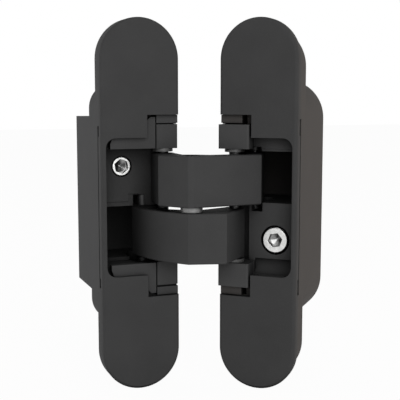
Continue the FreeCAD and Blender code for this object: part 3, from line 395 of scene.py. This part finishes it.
def powder_coat(name, colour, coat, grain=1.0, pocket_shade_band=DEEP_POCKET_SHADE):
    """Matt powder coat over a casting: faint clouds, fine specks, soft ripples, edges lightened partly by
    rubbing and partly as a painted highlight, and painted shade in pockets and slits.
    """
    shader = material_shader(name)
    place = shader.place()
    clouds = shader.noise(place, COAT_CLOUDS, detail=3)
    specks = shader.noise(place, coat.speck_size, roughness=0.6)
    ripples = shader.noise(place, coat.ripple_size, detail=1)
    edges, rounded = shader.edge_mask(coat.edge_radius)
    scuffs = shader.ramp(shader.noise(place, COAT_SCUFFS, detail=4, roughness=0.65), COAT_SCUFF_STOPS)
    # Lightened edges: partly wear from rubbing, partly a painted highlight.
    rubbed_highlight = shader.rise(edges, COAT_RUBBED_HIGHLIGHT_BAND) * scuffs * coat.edge_wear_highlight
    tone = shader.toned(shader.rise(clouds, COAT_CLOUD_BAND), colour, COAT_TONE)
    speck_share = shader.rise(specks, COAT_SPECK_BAND) * COAT_SPECK_SHARE
    speckled = shader.mix(speck_share, tone, tinted(colour, COAT_SPECK_TONE))
    worn_highlit = shader.mix(rubbed_highlight, speckled, tinted(colour, COAT_RUBBED_HIGHLIGHT_TONE))
    uneven = (clouds - MIDDLE) * COAT_CLOUD_ROUGH + (specks - MIDDLE) * COAT_SPECK_ROUGH
    rough = uneven - rubbed_highlight * COAT_RUBBED_SMOOTH + coat.roughness
    height = specks * (coat.speck_height * grain) + ripples * (coat.ripple_height * grain)
    # Painted shade darkens the coat in pockets and slits.
    return shader.surface({"Base Color": shader.painted_shade(worn_highlit, colour, pocket_shade_band), "Roughness": rough,
                           "Normal": shader.bump(height, rounded), "IOR": COAT_IOR,
                           "Specular IOR Level": COAT_SPECULAR})


def turned_zinc(name, metal, face, axis):
    """Bright plate on a turned screw head: rings round its axis, and painted shade that deepens below its
    face.
    """
    shader = material_shader(name)
    place = shader.place()
    from_face = shader.vector_math("SUBTRACT", place, face)
    across = shader.vector_math("CROSS_PRODUCT", from_face, axis)
    radius = shader.vector_math("LENGTH", across, output="Value")
    depth = shader.vector_math("DOT_PRODUCT", from_face, axis, "Value")
    rings = shader.node("ShaderNodeTexNoise", {"noise_dimensions": "1D"},
                        {"W": radius, "Scale": 1 / metal.ring_spacing}, "Fac")
    # Painted shade in the socket, darker with depth below the face.
    sunk = shader.ramp(depth * (1 / metal.socket_shade_depth), SOCKET_SHADE_BY_DEPTH)
    return plated(shader, place, rings, plain(metal.zinc), sunk * metal.socket_shade, plain(metal.socket_shade_colour))


def plated_zinc(name, colour, spacing):
    """Bright plate on a formed screw, with fine marks across it."""
    shader = material_shader(name)
    place = shader.place()
    marks = shader.noise(shader.vector_math("MULTIPLY", place, PLATE_STRETCH),
                         PLATE_MARK_WIDTH * spacing)
    return plated(shader, place, marks, colour)


def plated(shader, place, marks, colour, socket_shade=0.0, socket_shade_colour=(0.0, 0.0, 0.0)):
    """Finish a plated material: cloudy zinc, edges brightened as a painted highlight, the given marks, and
    painted shade where the socket mask says.
    """
    clouds = shader.noise(place, PLATE_CLOUDS, detail=3, roughness=0.6)
    edges, rounded = shader.edge_mask(PLATE_EDGE)
    tone = shader.toned(shader.rise(clouds, PLATE_CLOUD_BAND), colour, PLATE_TONE)
    # Brighter edges are a painted highlight.
    rims = shader.rise(edges, EDGE_BAND) * PLATE_EDGE_HIGHLIGHT_SHARE
    bright = shader.mix(rims, tone, tinted(colour, PLATE_EDGE_HIGHLIGHT_TONE))
    rough = marks * PLATE_MARK_ROUGH + clouds * PLATE_CLOUD_ROUGH + PLATE_ROUGH
    height = marks * PLATE_HEIGHT + clouds * PLATE_HEIGHT
    return shader.surface({"Base Color": shader.mix(socket_shade, bright, socket_shade_colour), "Metallic": 1.0, "Roughness": rough,
                           "Normal": shader.bump(height, rounded)})


def ground_steel(name, colour, roughness):
    """Bare steel ground round its length, with faint rings and light stains."""
    shader = material_shader(name)
    place = shader.place()
    rings = shader.noise(shader.vector_math("MULTIPLY", place, STEEL_STRETCH), STEEL_RINGS)
    stains = shader.noise(place, STEEL_STAINS, detail=4, roughness=0.6)
    edges, rounded = shader.edge_mask(STEEL_EDGE)
    tone = shader.toned(shader.rise(stains, STEEL_STAIN_BAND), colour, STEEL_TONE)
    rims = shader.rise(edges, EDGE_BAND) * STEEL_EDGE_SHARE
    bright = shader.mix(rims, tone, tinted(colour, STEEL_EDGE_TONE))
    rough = rings * STEEL_RING_ROUGH + stains * STEEL_STAIN_ROUGH + (roughness - STEEL_STAIN_ROUGH)
    # Painted shade darkens the steel in pockets and slits.
    return shader.surface({"Base Color": shader.painted_shade(bright, colour), "Metallic": 1.0,
                           "Roughness": rough, "Normal": shader.bump(rings * STEEL_HEIGHT, rounded)})


def moulded_plastic(name, colour, roughness):
    """Moulded bearing plastic: fine spark texture, faint clouds and softened rims."""
    shader = material_shader(name)
    place = shader.place()
    clouds = shader.noise(place, PLASTIC_CLOUDS, detail=3)
    grain = shader.noise(place, PLASTIC_GRAIN, roughness=0.6)
    edges, rounded = shader.edge_mask(PLASTIC_EDGE)
    tone = shader.toned(clouds, colour, PLASTIC_TONE)
    rims = shader.rise(edges, EDGE_BAND) * PLASTIC_RIM_SHARE
    rimmed = shader.mix(rims, tone, tinted(colour, PLASTIC_RIM_TONE))
    rough = (clouds - MIDDLE) * PLASTIC_CLOUD_ROUGH + (grain - MIDDLE) * PLASTIC_GRAIN_ROUGH + roughness
    # Painted shade darkens the plastic in pockets and slits.
    return shader.surface({"Base Color": shader.painted_shade(rimmed, colour), "Roughness": rough,
                           "Normal": shader.bump(grain * PLASTIC_HEIGHT, rounded)})


def dress(material, *nodes):
    """Put a material on the parts' own slots."""
    for name in nodes:
        part = frame["nodes"][name]
        if not part.material_slots:
            part.data.materials.append(material)
        for slot in part.material_slots:
            slot.material = material


def screw_face(node, joint):
    """The middle of a screw's socketed face and the direction from there into the leaf."""
    centre = Vector(JOINTS[joint]["pos_m"])
    axis = Vector(JOINTS[joint]["axis"])
    if axis.y < 0:
        axis = -axis
    nearest = min((vertex.co - centre).dot(axis) for vertex in frame["nodes"][node].data.vertices)
    return tuple(centre + axis * nearest), tuple(axis)


class HINGE_OT_bodies(bpy.types.Operator):
    """Coat the two cast bodies that sit in the door and its frame"""
    bl_idname = "hinge.bodies"
    bl_label = "Leaf bodies"

    def execute(self, context):
        coat = context.scene.hinge_coat
        dress(powder_coat("left_body_coat", plain(coat.left_body), coat, CASTING_GRAIN), "left_body")
        dress(powder_coat("right_body_coat", plain(coat.right_body), coat, CASTING_GRAIN), "right_body")
        return {"FINISHED"}


class HINGE_OT_covers(bpy.types.Operator):
    """Coat the two cover caps"""
    bl_idname = "hinge.covers"
    bl_label = "Cover caps"

    def execute(self, context):
        coat = context.scene.hinge_coat
        dress(powder_coat("cover_coat", plain(coat.cover), coat), "left_cover", "right_cover")
        return {"FINISHED"}


class HINGE_OT_carriers(bpy.types.Operator):
    """Coat the two sliding carriers"""
    bl_idname = "hinge.carriers"
    bl_label = "Carriers"

    def execute(self, context):
        coat = context.scene.hinge_coat
        dress(powder_coat("carrier_coat", plain(coat.carrier), coat, pocket_shade_band=CARRIER_POCKET_SHADE), "left_carrier",
              "right_carrier")
        return {"FINISHED"}


class HINGE_OT_keepers(bpy.types.Operator):
    """Coat the plates that hold the carriers in"""
    bl_idname = "hinge.keepers"
    bl_label = "Keepers"

    def execute(self, context):
        coat = context.scene.hinge_coat
        dress(powder_coat("keeper_coat", plain(coat.keeper), coat), "left_upper_keeper", "left_lower_keeper",
              "right_upper_keeper", "right_lower_keeper")
        return {"FINISHED"}


class HINGE_OT_arms(bpy.types.Operator):
    """Coat the two crossed arms"""
    bl_idname = "hinge.arms"
    bl_label = "Arms"

    def execute(self, context):
        coat = context.scene.hinge_coat
        dress(powder_coat("arm_coat", plain(coat.arm), coat, pocket_shade_band=ARM_POCKET_SHADE), "upper_arm", "lower_arm")
        return {"FINISHED"}


class HINGE_OT_screws(bpy.types.Operator):
    """Plate the adjusting screws and the keeper screws"""
    bl_idname = "hinge.screws"
    bl_label = "Screws"

    def execute(self, context):
        metal = context.scene.hinge_metal
        for node, joint in ADJUSTING_SCREWS.items():
            face, axis = screw_face(node, joint)
            dress(turned_zinc(node + "_plate", metal, face, axis), node)
        dress(plated_zinc("keeper_screw_plate", plain(metal.zinc), metal.ring_spacing), "left_keeper_screws",
              "right_keeper_screws")
        return {"FINISHED"}


class HINGE_OT_rings(bpy.types.Operator):
    """Oil the rings that retain the adjusting screws"""
    bl_idname = "hinge.rings"
    bl_label = "Retaining rings"

    def execute(self, context):
        metal = context.scene.hinge_metal
        dress(ground_steel("oiled_spring_steel", plain(metal.spring), roughness=0.45), "left_depth_ring",
              "right_side_ring")
        return {"FINISHED"}


class HINGE_OT_pins(bpy.types.Operator):
    """Finish the knuckle pins, the centre pin and the slide pins"""
    bl_idname = "hinge.pins"
    bl_label = "Pins"

    def execute(self, context):
        metal = context.scene.hinge_metal
        dress(ground_steel("ground_pin_steel", plain(metal.steel), roughness=0.38), "left_knuckle_pin",
              "right_knuckle_pin", "centre_pin", "upper_slide_pin", "lower_slide_pin")
        return {"FINISHED"}


class HINGE_OT_bearings(bpy.types.Operator):
    """Finish the bushes, the centre washer and the slide shoes"""
    bl_idname = "hinge.bearings"
    bl_label = "Bushes, washer and shoes"

    def execute(self, context):
        plastic = context.scene.hinge_plastic
        dress(moulded_plastic("bush_plastic", plain(plastic.bush), roughness=0.42), "left_upper_bush",
              "left_lower_bush", "right_upper_bush", "right_lower_bush")
        dress(moulded_plastic("washer_plastic", plain(plastic.washer), roughness=0.42), "centre_washer")
        dress(moulded_plastic("shoe_plastic", plain(plastic.shoe), roughness=0.5), "upper_slide_shoes",
              "lower_slide_shoes")
        return {"FINISHED"}


def seen_background(shader):
    """1 for what the camera, a mirror surface or glass sees, 0 for light that falls on the parts."""
    camera = shader.node("ShaderNodeLightPath", {}, {}, "Is Camera Ray")
    mirror = shader.node("ShaderNodeLightPath", {}, {}, "Is Glossy Ray")
    glass = shader.node("ShaderNodeLightPath", {}, {}, "Is Transmission Ray")
    return shader.math("MAXIMUM", shader.math("MAXIMUM", camera, mirror), glass)


def make_world(studio):
    """Even light from all around, which shows as plain white behind the hinge."""
    world = bpy.data.worlds.new("soft_surroundings")
    bpy.context.scene.world = world
    shader = Shader(world)
    strength = seen_background(shader) * (1 - studio.world_strength) + studio.world_strength
    light = shader.node("ShaderNodeBackground", {}, {"Color": solid(plain(studio.world)),
                                                      "Strength": strength})
    shader.node("ShaderNodeOutputWorld", {}, {"Surface": light}, None)


def make_floor(studio):
    """A pale floor under the lower end, close to white for the camera where no shadow falls."""
    low = cad_box[0][2]
    mesh = bpy.data.meshes.new("floor")
    corners = [(x * FLOOR_HALF, y * FLOOR_HALF, low) for x, y in ((-1, -1), (1, -1), (1, 1), (-1, 1))]
    mesh.from_pydata(corners, [], [(0, 1, 2, 3)])
    floor = bpy.data.objects.new("floor", mesh)
    bpy.context.scene.collection.objects.link(floor)
    shader = material_shader("pale_floor")
    clouds = shader.noise(shader.place(), FLOOR_CLOUDS, detail=3)
    tone = shader.toned(clouds, studio.floor, FLOOR_TONE)
    matt = shader.node("ShaderNodeBsdfPrincipled", {}, {"Base Color": tone, "Roughness": FLOOR_ROUGH,
                                                         "Specular IOR Level": 0.0})
    white = shader.node("ShaderNodeEmission", {}, {"Color": (1, 1, 1, 1), "Strength": 1.0})
    glow = seen_background(shader) * FLOOR_GLOW
    shown = shader.node("ShaderNodeMixShader", {}, {0: glow, 1: matt, 2: white})
    shader.node("ShaderNodeOutputMaterial", {}, {"Surface": shown}, None)
    mesh.materials.append(shader.owner)


def make_lamp(name, azimuth, elevation, distance, size, power, colour=(1, 1, 1)):
    """A square soft lamp that faces the middle of the hinge."""
    light = bpy.data.lights.new(name, "AREA")
    light.shape = "SQUARE"
    light.size = size
    light.energy = power
    light.color = colour
    lamp = bpy.data.objects.new(name, light)
    bpy.context.scene.collection.objects.link(lamp)
    middle = [(low + high) / 2 for low, high in zip(*cad_box)]
    aim(lamp, middle, azimuth, elevation, distance)


def aim(thing, point, azimuth, elevation, distance):
    """Stand off from a point, looking at it along azimuth and down by elevation."""
    look = Vector((math.sin(azimuth) * math.cos(elevation), math.cos(azimuth) * math.cos(elevation),
                   -math.sin(elevation)))
    turned = look.to_track_quat("-Z", "Y").to_matrix().to_4x4()
    thing.matrix_world = Matrix.Translation(Vector(point) - look * distance) @ turned


def make_camera(studio):
    """The camera that sees the hinge as it was photographed."""
    data = bpy.data.cameras.new("camera")
    data.sensor_width = FRAME_WIDTH
    data.lens = studio.lens
    data.clip_start = NEAREST_SEEN
    camera = bpy.data.objects.new("camera", data)
    bpy.context.scene.collection.objects.link(camera)
    aim(camera, studio.view_point, studio.view_azimuth, studio.view_elevation, studio.view_distance)
    bpy.context.scene.camera = camera


class HINGE_OT_stage(bpy.types.Operator):
    """Add the floor, the light from around, the lamps and the camera"""
    bl_idname = "hinge.stage"
    bl_label = "Studio"

    def execute(self, context):
        studio = context.scene.hinge_studio
        context.scene.view_settings.view_transform = "Standard"
        make_world(studio)
        make_floor(studio)
        view = studio.view_azimuth
        make_lamp("front_lamp", view + FRONT_TURN, FRONT_RAISED, FRONT_DISTANCE, FRONT_WIDTH,
                  studio.key_power)
        make_lamp("left_lamp", view + SIDE_TURN, SIDE_RAISED, SIDE_DISTANCE, SIDE_WIDTH, studio.left_power)
        make_lamp("right_lamp", view - SIDE_TURN, SIDE_RAISED, SIDE_DISTANCE, SIDE_WIDTH, studio.right_power,
                  plain(studio.right_light))
        make_camera(studio)
        return {"FINISHED"}


OPERATORS = (HINGE_OT_bodies, HINGE_OT_covers, HINGE_OT_carriers, HINGE_OT_keepers, HINGE_OT_arms,
             HINGE_OT_screws, HINGE_OT_rings, HINGE_OT_pins, HINGE_OT_bearings, HINGE_OT_stage)


class HINGE_PT_panel(bpy.types.Panel):
    """The steps that dress the hinge"""
    bl_idname = "HINGE_PT_panel"
    bl_label = "Concealed hinge"
    bl_space_type = "VIEW_3D"
    bl_region_type = "UI"
    bl_category = "Hinge"

    def draw(self, context):
        for operator in OPERATORS:
            self.layout.operator(operator.bl_idname)


SETTINGS = {"hinge_coat": CoatSettings, "hinge_hollows": PaintedShadeSettings, "hinge_metal": MetalSettings,
            "hinge_plastic": PlasticSettings, "hinge_studio": StudioSettings}


def register():
    for name, group in SETTINGS.items():
        bpy.utils.register_class(group)
        setattr(bpy.types.Scene, name, PointerProperty(type=group))
    for made in (*OPERATORS, HINGE_PT_panel):
        bpy.utils.register_class(made)


def unregister():
    for made in (HINGE_PT_panel, *reversed(OPERATORS)):
        bpy.utils.unregister_class(made)
    for name, group in SETTINGS.items():
        delattr(bpy.types.Scene, name)
        bpy.utils.unregister_class(group)


def main():
    register()
    for step in OPERATORS:
        group, name = step.bl_idname.split(".")
        getattr(getattr(bpy.ops, group), name)()


if __name__ == "__main__":
    main()
